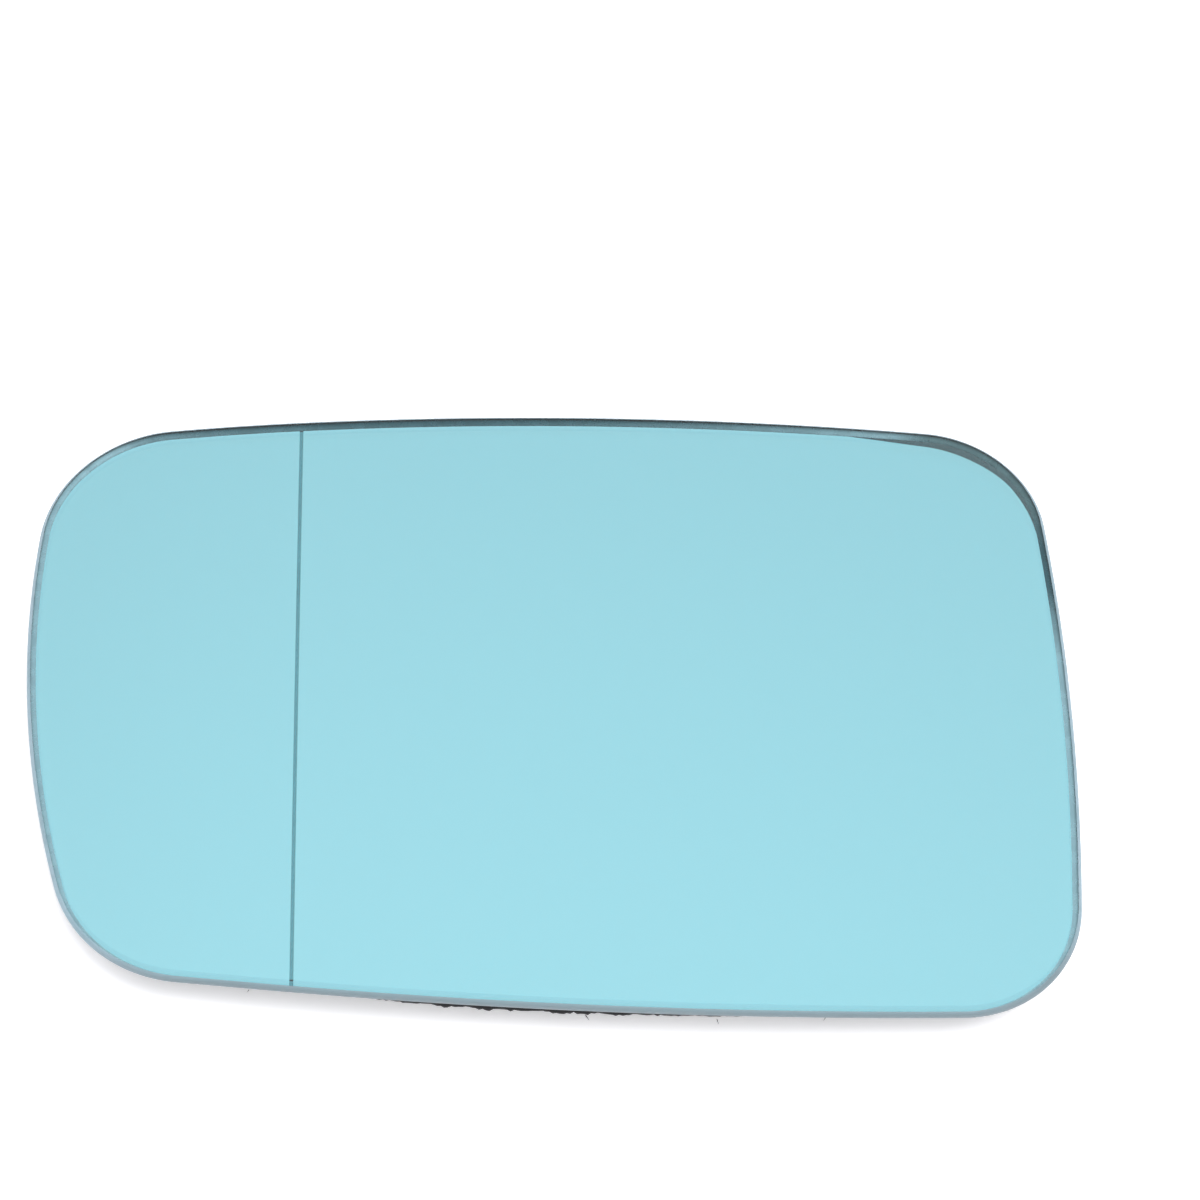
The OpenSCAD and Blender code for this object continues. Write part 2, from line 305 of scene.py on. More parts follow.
@dataclass(frozen=True)
class SealPaint:
    """Dark lacquer that protects the cut edge of the coating; its paler tone at the top corner belongs to a
    painted reflection.
    """

    colour: Colour = (0.012, 0.075, 0.11)
    thin: Colour = (0.03, 0.12, 0.16)
    # painted reflection: the paler tone where the lacquer is widened at the top corner
    pale: Colour = (0.10, 0.18, 0.20)

    def material(self) -> Material:
        """The lacquer, a little uneven.

        Returns:
            The finish.
        """
        shader = Shader("seal_paint")
        uneven = shader.noise(500.0, 3.0)
        return shader.surface({
            "Base Color": shader.mix(shader.top_corner(), shader.mix(uneven, self.colour, self.thin),
                                     self.pale),
            "Metallic": 0.85,
            "Roughness": 0.25,
            "Normal": shader.bump(uneven, 0.02 * MM, 0.4),
        })


@dataclass(frozen=True)
class ReflectingLayer:
    """The blue-tinted mirror coating."""

    front: Colour = (0.412, 0.808, 0.905)
    rear: Colour = (0.66, 0.68, 0.66)

    def material(self) -> Material:
        """Blue towards the pane and silver from behind.

        Returns:
            The finish.
        """
        shader = Shader("reflecting_layer")
        normal = shader.node("ShaderNodeNewGeometry").outputs["True Normal"]
        faces_up = shader.math("GREATER_THAN", shader.part(normal, "Z"), 0.0)
        ripple = shader.noise(18.0, 1.0)
        return shader.surface({
            "Base Color": shader.mix(faces_up, self.rear, self.front),
            "Metallic": 1.0,
            "Roughness": shader.span(ripple, 0.3, 0.7, 0.02, 0.05),
        })


@dataclass(frozen=True)
class FilmGrey:
    """Grey heater film with darker specks in patches."""

    colour: Colour = (0.56, 0.56, 0.53)
    speck: Colour = (0.30, 0.30, 0.29)

    def material(self) -> Material:
        """The film with its specks.

        Returns:
            The finish.
        """
        shader = Shader("film_grey")
        specks = shader.span(shader.noise(900.0, 3.0, 0.7), 0.60, 0.72, 0.0, 0.8)
        cloud = shader.span(shader.noise(45.0), 0.3, 0.7, 0.15, 1.0)
        ground = shader.mix(shader.math("MULTIPLY", specks, cloud), self.colour, self.speck)
        weave = shader.noise(2400.0)
        return shader.surface({
            "Base Color": ground,
            "Roughness": shader.span(weave, 0.3, 0.7, 0.42, 0.58),
            "Normal": shader.bump(weave, 0.02 * MM, 0.4),
        })


@dataclass(frozen=True)
class TrackInk:
    """Thick off-white printed track."""

    colour: Colour = (0.80, 0.80, 0.75)
    worn: Colour = (0.62, 0.62, 0.57)

    def material(self) -> Material:
        """The ink with its fine screen-printed grain.

        Returns:
            The finish.
        """
        shader = Shader("track_ink")
        grain = shader.noise(3200.0, 3.0)
        patches = shader.span(shader.noise(240.0, 3.0), 0.45, 0.7)
        return shader.surface({
            "Base Color": shader.mix(patches, self.colour, self.worn),
            "Roughness": shader.span(grain, 0.3, 0.7, 0.5, 0.75),
            "Normal": shader.bump(grain, 0.03 * MM, 0.6),
        })


@dataclass(frozen=True)
class EyeletBrass:
    """Pressed brass with a dull film."""

    bright: Colour = (0.72, 0.53, 0.27)
    dull: Colour = (0.42, 0.33, 0.20)

    def material(self) -> Material:
        """Brass, dulled in patches.

        Returns:
            The finish.
        """
        shader = Shader("eyelet_brass")
        patches = shader.span(shader.noise(700.0, 3.0, 0.6), 0.42, 0.68)
        return shader.surface({
            "Base Color": shader.mix(patches, self.bright, self.dull),
            "Metallic": 1.0,
            "Roughness": shader.span(patches, 0.0, 1.0, 0.2, 0.42),
            "Normal": shader.bump(shader.noise(1500.0), 0.03 * MM, 0.5),
        })


@dataclass(frozen=True)
class SolderTin:
    """Bright solder that has run out under an eyelet."""

    colour: Colour = (0.60, 0.60, 0.58)
    frosted: Colour = (0.42, 0.42, 0.41)

    def material(self) -> Material:
        """Solder with a slightly frosted skin.

        Returns:
            The finish.
        """
        shader = Shader("solder_tin")
        frost = shader.noise(1800.0, 3.0)
        return shader.surface({
            "Base Color": shader.mix(frost, self.colour, self.frosted),
            "Metallic": 1.0,
            "Roughness": shader.span(frost, 0.3, 0.7, 0.22, 0.4),
            "Normal": shader.bump(frost, 0.05 * MM, 0.5),
        })


class Skin(Enum):
    """How a moulded surface came out."""

    MOULDED = "moulded"
    TRIMMED = "trimmed"


@dataclass(frozen=True)
class HolderPlastic:
    """Black moulded plastic, and the same plastic where it was trimmed."""

    moulded: Colour = (0.0125, 0.0125, 0.0145)
    scuffed: Colour = (0.028, 0.028, 0.031)
    trimmed: Colour = (0.30, 0.30, 0.30)
    edge_r: float = 0.12

    def material(self, skin: Skin) -> Material:
        """One of the two skins.

        Args:
            skin: Moulded or trimmed.

        Returns:
            The material.
        """
        shader = Shader("holder_" + skin.value)
        grain = shader.noise(1900.0, 4.0, 0.6)
        if skin is Skin.TRIMMED:
            torn = shader.noise(1400.0, 4.0, 0.7)
            return shader.surface({
                "Base Color": shader.mix(shader.span(torn, 0.40, 0.62), self.scuffed, self.trimmed),
                "Roughness": 0.7,
                "Normal": shader.bump(torn, 0.12 * MM, 0.9),
            })
        scuffs = shader.span(shader.noise(120.0, 6.0, 0.7), 0.56, 0.78, 0.0, 0.7)
        flow = shader.noise(30.0)
        rounded = shader.node("ShaderNodeBevel", {"Radius": self.edge_r * MM}, samples=4)
        return shader.surface({
            "Base Color": shader.mix(scuffs, self.moulded, self.scuffed),
            "Roughness": shader.span(flow, 0.3, 0.7, 0.36, 0.5),
            "Normal": shader.bump(grain, 0.03 * MM, 0.5, rounded.outputs["Normal"]),
        })


# The pane's shape


def bearing(start: Point, end: Point) -> float:
    """The direction from one point to another, in radians."""
    return math.atan2(end[1] - start[1], end[0] - start[0])


def ease(value: float, low: float, high: float) -> float:
    """A smooth rise from 0 at one value to 1 at another."""
    share = min(max((value - low) / (high - low), 0.0), 1.0)
    return share * share * (3 - 2 * share)


def meeting(first: Point, first_r: float, second: Point, second_r: float) -> Point:
    """Where two circles meet, on the left of the line between their centres.

    Args:
        first: One centre.
        first_r: Its radius.
        second: The other centre.
        second_r: Its radius.

    Returns:
        The meeting point.
    """
    across = (second[0] - first[0], second[1] - first[1])
    gap = math.hypot(*across)
    along = (first_r**2 - second_r**2 + gap**2) / (2 * gap)
    aside = math.sqrt(first_r**2 - along**2)
    unit = (across[0] / gap, across[1] / gap)
    return first[0] + along * unit[0] - aside * unit[1], first[1] + along * unit[1] + aside * unit[0]


@dataclass
class PaneShape:
    """Outline and bend of the pane in millimetres, about its own middle, with the solids' sizes."""

    middle: Point = (6.2, 2.0)
    width: float = 166.0
    height: float = 110.0
    side_r: tuple[float, ...] = (430.0, 1010.0, 172.0, 755.0)
    peaks: tuple[float, ...] = (-0.5, -15.0, 16.0, 50.0)
    corner_r: tuple[float, ...] = (20.0, 22.0, 23.5, 20.0)
    main_r: float = 1300.0
    zone_r: float = 530.0
    zone_w: float = 43.2
    face_z: float = 5.69
    corner_turn: float = 1.35
    side_share: float = 0.75

    def outline(self, inset: Sequence[float], step: float = 1.4, corner_step: float = 0.8) -> list[Point]:
        """The outline with each side moved in.

        Args:
            inset: Inset of the inner, top, outer and bottom sides.
            step: Distance between points on the sides.
            corner_step: Distance between points in the corners.

        Returns:
            Points around the outline, anticlockwise, always the same number for the same steps.
        """
        half_w, half_h = self.width / 2, self.height / 2
        centres = [(half_w - self.side_r[0], self.peaks[0]), (self.peaks[1], half_h - self.side_r[1]),
                   (self.side_r[2] - half_w, self.peaks[2]), (self.peaks[3], self.side_r[3] - half_h)]
        radii = [r - i for r, i in zip(self.side_r, inset)]
        sides = ((0, 1), (1, 2), (2, 3), (3, 0))
        rounds = [self.corner_r[i] - (inset[i] + inset[after]) / 2 for i, after in sides]
        corners = [meeting(centres[i], radii[i] - rounds[i], centres[after], radii[after] - rounds[i])
                   for i, after in sides]
        points: list[Point] = []
        for i, after in sides:
            start = bearing(centres[i], corners[i - 1])
            end = bearing(centres[i], corners[i])
            turned = bearing(centres[after], corners[i])
            for centre, radius, low, high, full_r, pitch in (
                (centres[i], radii[i], start, end, self.side_r[i], step),
                (corners[i], rounds[i], end, turned, self.corner_r[i], corner_step),
            ):
                turn = (high - low) % (2 * math.pi)
                count = max(2, round(full_r * self._nominal(i, full_r) / pitch))
                for k in range(count):
                    angle = low + turn * k / count
                    points.append((self.middle[0] + centre[0] + radius * math.cos(angle),
                                   self.middle[1] + centre[1] + radius * math.sin(angle)))
        return points

    def _nominal(self, side: int, radius: float) -> float:
        """A rough turn in radians, so that the number of points doesn't hang on the inset.

        Args:
            side: The side's number.
            radius: Radius of the side, or of the corner after it.

        Returns:
            The turn.
        """
        if radius == self.corner_r[side]:
            return self.corner_turn
        return (self.height if side % 2 == 0 else self.width) * self.side_share / radius

    def section(self, x: float, depth: float) -> float:
        """The section's distance from the bend axis.

        Args:
            x: The place along the pane, from its middle.
            depth: The depth below the face.

        Returns:
            The distance.
        """
        split_x = self.zone_w - self.width / 2
        split = math.sqrt(self.main_r**2 - split_x**2)
        share = 1 - self.zone_r / self.main_r
        if x < split_x:
            return split * share + math.sqrt((self.zone_r - depth) ** 2 - (x - split_x * share) ** 2)
        return math.sqrt((self.main_r - depth) ** 2 - x * x)

    def at(self, point: Point, depth: float) -> Vector:
        """A place at a depth below the face.

        Args:
            point: Its x and y in millimetres.
            depth: Its depth in millimetres.

        Returns:
            The place in metres.
        """
        x, y = point[0] - self.middle[0], point[1] - self.middle[1]
        z = math.sqrt(self.section(x, depth) ** 2 - y * y) - self.main_r + self.face_z
        return Vector((point[0], point[1], z)) * MM

    def rings(self, section: Iterable[tuple[Sequence[float], float]]) -> list[Vector]:
        """Closed rings of points round the pane, each from its insets and its depth."""
        return [self.at(p, depth) for inset, depth in section for p in self.outline(inset)]

    @property
    def line_x(self) -> float:
        """Where the dividing line runs, in metres."""
        return (self.middle[0] + self.zone_w - self.width / 2) * MM


def mesh_piece(name: str, points: Iterable[Vector], faces: Sequence[Sequence[int]],
               finishes: Sequence[Material], smooth: bool = True) -> Piece:
    """Makes an object at the origin from points and faces.

    Args:
        name: The piece's name.
        points: Its vertices in metres.
        faces: Its faces, as numbers of vertices.
        finishes: Its materials.
        smooth: Whether its faces shade smoothly.

    Returns:
        The object.
    """
    mesh = bpy.data.meshes.new(name)
    mesh.from_pydata([tuple(p) for p in points], [], [tuple(f) for f in faces])
    mesh.update()
    for finish in finishes:
        mesh.materials.append(finish)
    mesh.polygons.foreach_set("use_smooth", [smooth] * len(mesh.polygons))
    piece = bpy.data.objects.new(name, mesh)
    bpy.context.scene.collection.objects.link(piece)
    return piece


def merge_doubles(piece: Piece) -> None:
    """Joins points that lie together and turns the faces outwards.

    Args:
        piece: The piece.
    """
    shell = bmesh.new()
    shell.from_mesh(piece.data)
    bmesh.ops.remove_doubles(shell, verts=shell.verts, dist=1e-7)
    bmesh.ops.recalc_face_normals(shell, faces=shell.faces)
    shell.to_mesh(piece.data)
    shell.free()


def ring_faces(rings: int, around: int) -> list[tuple[int, int, int, int]]:
    """Quads between closed rings of points that follow each other."""
    return [(low + k, low + (k + 1) % around, low + around + (k + 1) % around, low + around + k)
            for low in range(0, (rings - 1) * around, around) for k in range(around)]


@dataclass
class MirrorPane:
    """The bent pane with its ground edge."""

    shape: PaneShape
    thickness: float = 2.0
    edge_inset: float = 1.5
    edge_steps: int = 20
    polished_steps: int = 4
    ground_steps: int = 10
    face_rings: int = 34
    glass: PaneGlass = PaneGlass()
    # painted shade: a darker-tinted copy of the pane glass on the rounded edge, for the dark line round the
    # face
    arris: PaneGlass = PaneGlass("arris_glass_painted_shade", (0.78, 0.87, 0.90))
    edge: GroundEdge = GroundEdge()
    back: CoatedArris = CoatedArris()

    def face(self, depth: float, shares: Iterable[float]) -> list[Vector]:
        """Rings of points over one face.

        Args:
            depth: The face's depth.
            shares: Each ring's size as a share of the face's rim.

        Returns:
            The points, ring by ring.
        """
        rim = self.shape.outline((self.edge_inset,) * 4)
        mid = self.shape.middle
        return [self.shape.at((mid[0] + share * (x - mid[0]), mid[1] + share * (y - mid[1])), depth)
                for share in shares for x, y in rim]

    def build(self) -> Piece:
        """Builds the pane, which stands for its solid.

        Returns:
            The pane.
        """
        shares = [(k + 0.5) / self.face_rings for k in range(self.face_rings)]
        angles = [math.pi * k / self.edge_steps for k in range(self.edge_steps + 1)]
        points = self.face(0.0, shares)
        points += self.shape.rings(((self.edge_inset * (1 - math.sin(a)),) * 4,
                                    self.thickness / 2 * (1 - math.cos(a))) for a in angles)
        points += self.face(self.thickness, reversed(shares))
        rings = 2 * self.face_rings + self.edge_steps + 1
        around = len(points) // rings
        faces: list[tuple[int, ...]] = [tuple(reversed(f)) for f in ring_faces(rings, around)]
        top = len(points)
        points += [self.shape.at(self.shape.middle, 0.0), self.shape.at(self.shape.middle, self.thickness)]
        last = (rings - 1) * around
        faces += [(top, k, (k + 1) % around) for k in range(around)]
        faces += [(top + 1, last + (k + 1) % around, last + k) for k in range(around)]
        finishes = [self.glass.material(), self.arris.material(), self.edge.material(), self.back.material()]
        pane = mesh_piece("pane", points, faces, finishes)
        ground_to = self.polished_steps + self.ground_steps
        for number, polygon in enumerate(pane.data.polygons):
            step = number // around - self.face_rings
            if 0 <= step < self.edge_steps:
                # the first steps of the rounded edge take the darker glass, a painted shade
                polygon.material_index = 1 + (step >= self.polished_steps) + (step >= ground_to)
        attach(pane, "root")
        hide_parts("mirror_glass")
        return pane


@dataclass
class EdgeSeal:
    """The dark line of lacquer behind the pane, round the edge of the coating, made wider on top near the
    inner corner as a painted reflection of a dark object behind the pane.
    """

    pane: MirrorPane
    outer: Sides = (0.76, 0.22, 0.76, 0.8)
    inner: float = 0.94
    # painted reflection: the extra width on top near the inner corner stands for a dark object reflected from
    # behind the pane
    widest_reflection_band: float = 1.8
    wide_x: Point = (44.0, 78.0)
    wide_y: Point = (25.0, 45.0)
    top_y: Point = (44.0, 52.0)
    side_part: float = 0.7
    clear: float = 0.006
    thickness: float = 0.02
    lip: tuple[Point, ...] = ((0.80, 1.97), (0.885, 1.97), (0.885, 2.134), (0.96, 2.134), (0.96, 2.165),
                              (0.80, 2.165))
    steps: int = 16
    paint: SealPaint = SealPaint()

    def back_depth(self, inset: float) -> float:
        """How deep the pane's back lies, with its rounded edge.

        Args:
            inset: Distance from the pane's outline.

        Returns:
            The depth.
        """
        if inset >= self.pane.edge_inset:
            return self.pane.thickness
        return self.pane.thickness / 2 * (1 + math.sqrt(1 - (1 - inset / self.pane.edge_inset) ** 2))

    def spread(self, point: Point) -> float:
        """Share of the extra width, a painted reflection: whole on top near the inner corner, less on the
        side below it.

        Args:
            point: A place on the outline.

        Returns:
            The share there.
        """
        x, y = point
        top = self.side_part + (1 - self.side_part) * ease(y, *self.top_y)
        return ease(x, *self.wide_x) * ease(y, *self.wide_y) * top

    def band(self, share: float) -> list[tuple[Point, float]]:
        """One line of points along the lacquer.

        Args:
            share: How far it lies from the lacquer's outer side to its inner side.

        Returns:
            Each point with its inset from the pane's outline.
        """
        edge = self.pane.shape.outline((0.0,) * 4)
        insets = [outer + (self.inner - outer) * share for outer in self.outer]
        narrow = self.pane.shape.outline(insets)
        wide = self.pane.shape.outline([inset + self.widest_reflection_band * share for inset in insets])
        line: list[tuple[Point, float]] = []
        for rim, (x, y), (far_x, far_y) in zip(edge, narrow, wide):
            part = self.spread(rim)
            point = (x + part * (far_x - x), y + part * (far_y - y))
            line.append((point, math.dist(rim, point)))
        return line

    def build(self) -> Piece:
        """Builds the line.

        Returns:
            The line.
        """
        shares = [k / self.steps for k in range(self.steps + 1)]
        section = [(share, self.clear) for share in shares]
        section += [(share, self.clear + self.thickness) for share in reversed(shares)]
        section.append(section[0])
        points: list[Vector] = []
        for share, below in section[:-1]:
            points += [self.pane.shape.at(p, self.back_depth(inset) + below) for p, inset in self.band(share)]
        around = len(points) // (len(section) - 1)
        points += points[:around]
        faces = ring_faces(len(section), around)
        start = len(points)
        points += self.pane.shape.rings(((inset,) * 4, depth) for inset, depth in (*self.lip, self.lip[0]))
        faces += [tuple(start + i for i in f) for f in ring_faces(len(self.lip) + 1, around)]
        seal = mesh_piece("edge_seal", points, faces, [self.paint.material()], smooth=False)
        merge_doubles(seal)
        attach(seal, "root")
        return seal


@dataclass(frozen=True)
class LineLacquer:
    """Grey-green lacquer that shows through the dividing line."""

    colour: Colour = (0.145, 0.45, 0.53)
    shade: float = 0.75

    def material(self) -> Material:
        """The lacquer, a little uneven along the line.

        Returns:
            The finish.
        """
        shader = Shader("line_lacquer")
        uneven = shader.noise(160.0, 3.0)
        return shader.surface({
            "Base Color": shader.mix(uneven, self.colour, tuple(self.shade * c for c in self.colour)),
            "Metallic": 1.0,
            "Roughness": 0.15,
        })


@dataclass
class LineBacking:
    """The strip of lacquer behind the gap in the coating."""

    shape: PaneShape
    half_w: float = 0.55
    from_depth: float = 2.135
    to_depth: float = 2.152
    margin: float = 0.95
    reach: float = 1.0
    steps: int = 60
    lacquer: LineLacquer = LineLacquer()

    def build(self) -> Piece:
        """Builds the strip.

        Returns:
            The strip.
        """
        middle = self.shape.line_x / MM
        line = self.shape.outline((self.margin,) * 4)
        near = [y for x, y in line if abs(x - middle) < self.reach]
        low, high = min(near), max(near)
        points: list[Vector] = []
        for k in range(self.steps + 1):
            y = low + (high - low) * k / self.steps
            points += [self.shape.at((middle + side * self.half_w, y), depth) for side, depth in (
                (-1, self.from_depth), (1, self.from_depth), (1, self.to_depth), (-1, self.to_depth))]
        faces: list[tuple[int, ...]] = list(ring_faces(self.steps + 1, 4))
        last = 4 * self.steps
        faces += [(3, 2, 1, 0), (last, last + 1, last + 2, last + 3)]
        strip = mesh_piece("line_backing", points, faces, [self.lacquer.material()], smooth=False)
        merge_doubles(strip)
        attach(strip, "root")
        return strip


@dataclass(frozen=True)
class BondGlue:
    """Black glue that closes the slot between pane and plate."""

    cured: Colour = (0.011, 0.011, 0.012)
    dusty: Colour = (0.026, 0.026, 0.028)

    def material(self) -> Material:
        """The glue, smooth where it cured clean and duller where dust sits.

        Returns:
            The finish.
        """
        shader = Shader("bond_glue")
        dust = shader.span(shader.noise(600.0, 3.0), 0.45, 0.7)
        return shader.surface({
            "Base Color": shader.mix(dust, self.cured, self.dusty),
            "Roughness": shader.span(dust, 0.0, 1.0, 0.35, 0.6),
        })


@dataclass
class GlueBead:
    """The bead of glue round the film, in the slot between pane and plate."""

    shape: PaneShape
    outer: float = 0.08
    waist: float = 0.13
    inner: float = 0.26
    from_depth: float = 2.135
    to_depth: float = 2.585
    glue: BondGlue = BondGlue()

    def build(self) -> Piece:
        """Builds the bead.

        Returns:
            The bead.
        """
        middle = (self.from_depth + self.to_depth) / 2
        section = ((self.inner, self.from_depth), (self.outer, self.from_depth), (self.waist, middle),
                   (self.outer, self.to_depth), (self.inner, self.to_depth), (self.inner, self.from_depth))
        points = self.shape.rings(([inset + aside for inset in PLATE_INSETS], depth)
                                  for aside, depth in section)
        faces = ring_faces(len(section), len(points) // len(section))
        bead = mesh_piece("glue_bead", points, faces, [self.glue.material()], smooth=False)
        merge_doubles(bead)
        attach(bead, "root")
        return bead


# Terminals


@dataclass
class Terminal:
    """A pressed eyelet in its ring of solder."""

    name: str
    x: float
    y: float
    shape: PaneShape
    base_depth: float = 2.58
    flange_r: float = 3.0
    metal_t: float = 0.3
    cup_r: float = 1.9
    wall_t: float = 0.35
    height: float = 1.6
    dome_r: float = 0.7
    around: int = 72
    solder: tuple[Point, ...] = ((0.62, 0.0), (0.56, 0.10), (0.38, 0.2), (0.16, 0.27), (0.0, 0.30))
    tuck: float = 0.02

    def place(self) -> Matrix:
        """Square to the bent face at the eyelet's place.

        Returns:
            What turns the eyelet's own millimetres into metres on the part.
        """
        (mid_x, mid_y), bend_r = self.shape.middle, self.shape.main_r
        lean = (-math.asin((self.y - mid_y) / bend_r), math.asin((self.x - mid_x) / bend_r), 0.0)
        turn = Euler(lean).to_matrix().to_4x4()
        axis = Matrix.Translation((mid_x, mid_y, self.shape.face_z - bend_r))
        drop = Matrix.Translation((0.0, 0.0, bend_r - self.base_depth))
        return Matrix.Scale(MM, 4) @ axis @ turn @ drop @ Matrix.Scale(-1.0, 4, (0.0, 0.0, 1.0))

    def profile(self) -> list[Point]:
        """The eyelet's half section, from its middle behind the dome to the middle of its flat face.

        Returns:
            Radius and level of each point.
        """
        t, r = self.metal_t, 0.5 * self.metal_t
        wall = self.cup_r - self.wall_t
        half_turn = [math.pi * k / 6 for k in range(7)]
        points: list[Point] = [(0.0, t + self.dome_r)]
        points += [(self.dome_r * math.sin(a), t + self.dome_r * math.cos(a)) for a in (0.35, 0.7, 1.05, 1.4)]
        points += [(self.dome_r + 0.12, t + 0.03), (wall - 0.12, t + 0.02), (wall - 0.02, t + 0.12)]
        lip, half = (wall + self.cup_r) / 2, self.wall_t / 2
        points += [(lip - half * math.cos(a), self.height - half + half * math.sin(a)) for a in half_turn]
        points += [(self.cup_r + 0.02, t + 0.22), (self.cup_r + 0.08, t + 0.07), (self.cup_r + 0.22, t)]
        points += [(self.flange_r - r + r * math.sin(a), r + r * math.cos(a)) for a in half_turn]
        points += [(0.0, 0.0)]
        return points

    def build(self, brass: Material, tin: Material, node: str) -> Piece:
        """Builds the eyelet, which stands for its solid.

        Args:
            brass: The eyelet's finish.
            tin: The solder's finish.
            node: The solid's name.

        Returns:
            The eyelet.
        """
        n, place = self.around, self.place()
        ways = [(math.cos(a), math.sin(a)) for a in (2 * math.pi * k / n for k in range(n))]
        behind, *middle, flat = self.profile()
        points = [place @ Vector((0.0, 0.0, behind[1])), place @ Vector((0.0, 0.0, flat[1]))]
        for radius, level in middle:
            points += [place @ Vector((radius * x, radius * y, level)) for x, y in ways]
        last = 2 + (len(middle) - 1) * n
        faces: list[tuple[int, ...]] = [tuple(2 + i for i in f) for f in ring_faces(len(middle), n)]
        faces += [(0, 2 + (k + 1) % n, 2 + k) for k in range(n)]
        faces += [(1, last + k, last + (k + 1) % n) for k in range(n)]
        brass_faces, start = len(faces), len(points)
        for wide, level in self.solder:
            for x, y in ways:
                run = 1 + 0.25 * noise.noise(Vector((x, y, self.y)))
                radius = self.flange_r + (wide * run if wide else -self.tuck)
                points.append(place @ Vector((radius * x, radius * y, level)))
        faces += [tuple(start + i for i in reversed(f)) for f in ring_faces(len(self.solder), n)]
        piece = mesh_piece(self.name, points, faces, [brass, tin])
        for polygon in piece.data.polygons:
            if polygon.index >= brass_faces:
                polygon.material_index = 1
        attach(piece, "root")
        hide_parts(node)
        return piece


# Repeated details, by geometry nodes


class Scatter(NodeBuilder):
    """A tree that puts a small shape at each point of its mesh, turned along the point's own direction."""

    DIRECTION = "facing"

    def __init__(self, name: str, sizes: dict[str, float], finish: Material) -> None:
        """Starts the tree.

        Args:
            name: The tree's name.
            sizes: Its named sizes in metres.
            finish: The material that it sets.
        """
        super().__init__(bpy.data.node_groups.new(name, "GeometryNodeTree"))
        self.sizes = sizes
        self.finish = finish
        face = self.tree.interface
        face.new_socket("Geometry", in_out="INPUT", socket_type="NodeSocketGeometry")
        made = [face.new_socket(size, in_out="INPUT", socket_type="NodeSocketFloat") for size in sizes]
        self.keys = {socket.name: socket.identifier for socket in made}
        face.new_socket("Geometry", in_out="OUTPUT", socket_type="NodeSocketGeometry")
        self.into = self.node("NodeGroupInput")

    def end(self, shape: Socket, scale: Socket | None) -> None:
        """Puts the shape at every point, makes it real and sets its finish.

        Args:
            shape: The small shape's geometry.
            scale: Its size at each point, or None.
        """
        own = {"Name": self.DIRECTION}
        facing = self.node("GeometryNodeInputNamedAttribute", own, data_type="FLOAT_VECTOR")
        way = {"Vector": facing.outputs["Attribute"]}
        turn = self.node("FunctionNodeAlignRotationToVector", way, axis="Z")
        onto = self.node("GeometryNodeInstanceOnPoints", {
            "Points": self.into.outputs["Geometry"], "Instance": shape, "Rotation": turn.outputs["Rotation"]})
        if scale is not None:
            self.feed(onto.inputs["Scale"], scale)
        real = self.node("GeometryNodeRealizeInstances", {"Geometry": onto.outputs["Instances"]})
        dress = self.node("GeometryNodeSetMaterial", {"Geometry": real.outputs[0], "Material": self.finish})
        self.node("NodeGroupOutput", {"Geometry": dress.outputs[0]})

    def bake(self, places: Sequence[tuple[Vector, Vector]], name: str) -> Piece:
        """Runs the tree on a mesh of loose points and keeps the result as a plain mesh.

        Args:
            places: Each point and its direction.
            name: The new piece's name.

        Returns:
            The new piece, at the origin.
        """
        carrier = mesh_piece("carrier", [place for place, _ in places], [], [])
        facing = carrier.data.attributes.new(self.DIRECTION, "FLOAT_VECTOR", "POINT")
        facing.data.foreach_set("vector", [value for _, way in places for value in way])
        modifier = carrier.modifiers.new("scatter", "NODES")
        modifier.node_group = self.tree
        for size, value in self.sizes.items():
            modifier[self.keys[size]] = value
        bpy.context.view_layer.update()
        graph = bpy.context.evaluated_depsgraph_get()
        mesh = bpy.data.meshes.new_from_object(carrier.evaluated_get(graph))
        bpy.data.objects.remove(carrier)
        mesh.name = name
        if not mesh.materials:
            mesh.materials.append(self.finish)
        piece = bpy.data.objects.new(name, mesh)
        bpy.context.scene.collection.objects.link(piece)
        return piece


# Holder plate


def dress_node(name: str, finish: Material) -> None:
    """Gives a carried-over solid one finish.

    Args:
        name: The solid's name.
        finish: What it gets.
    """
    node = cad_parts[name]
    node.data.materials.clear()
    node.data.materials.append(finish)
    log.info("%s: %s", name, finish.name)


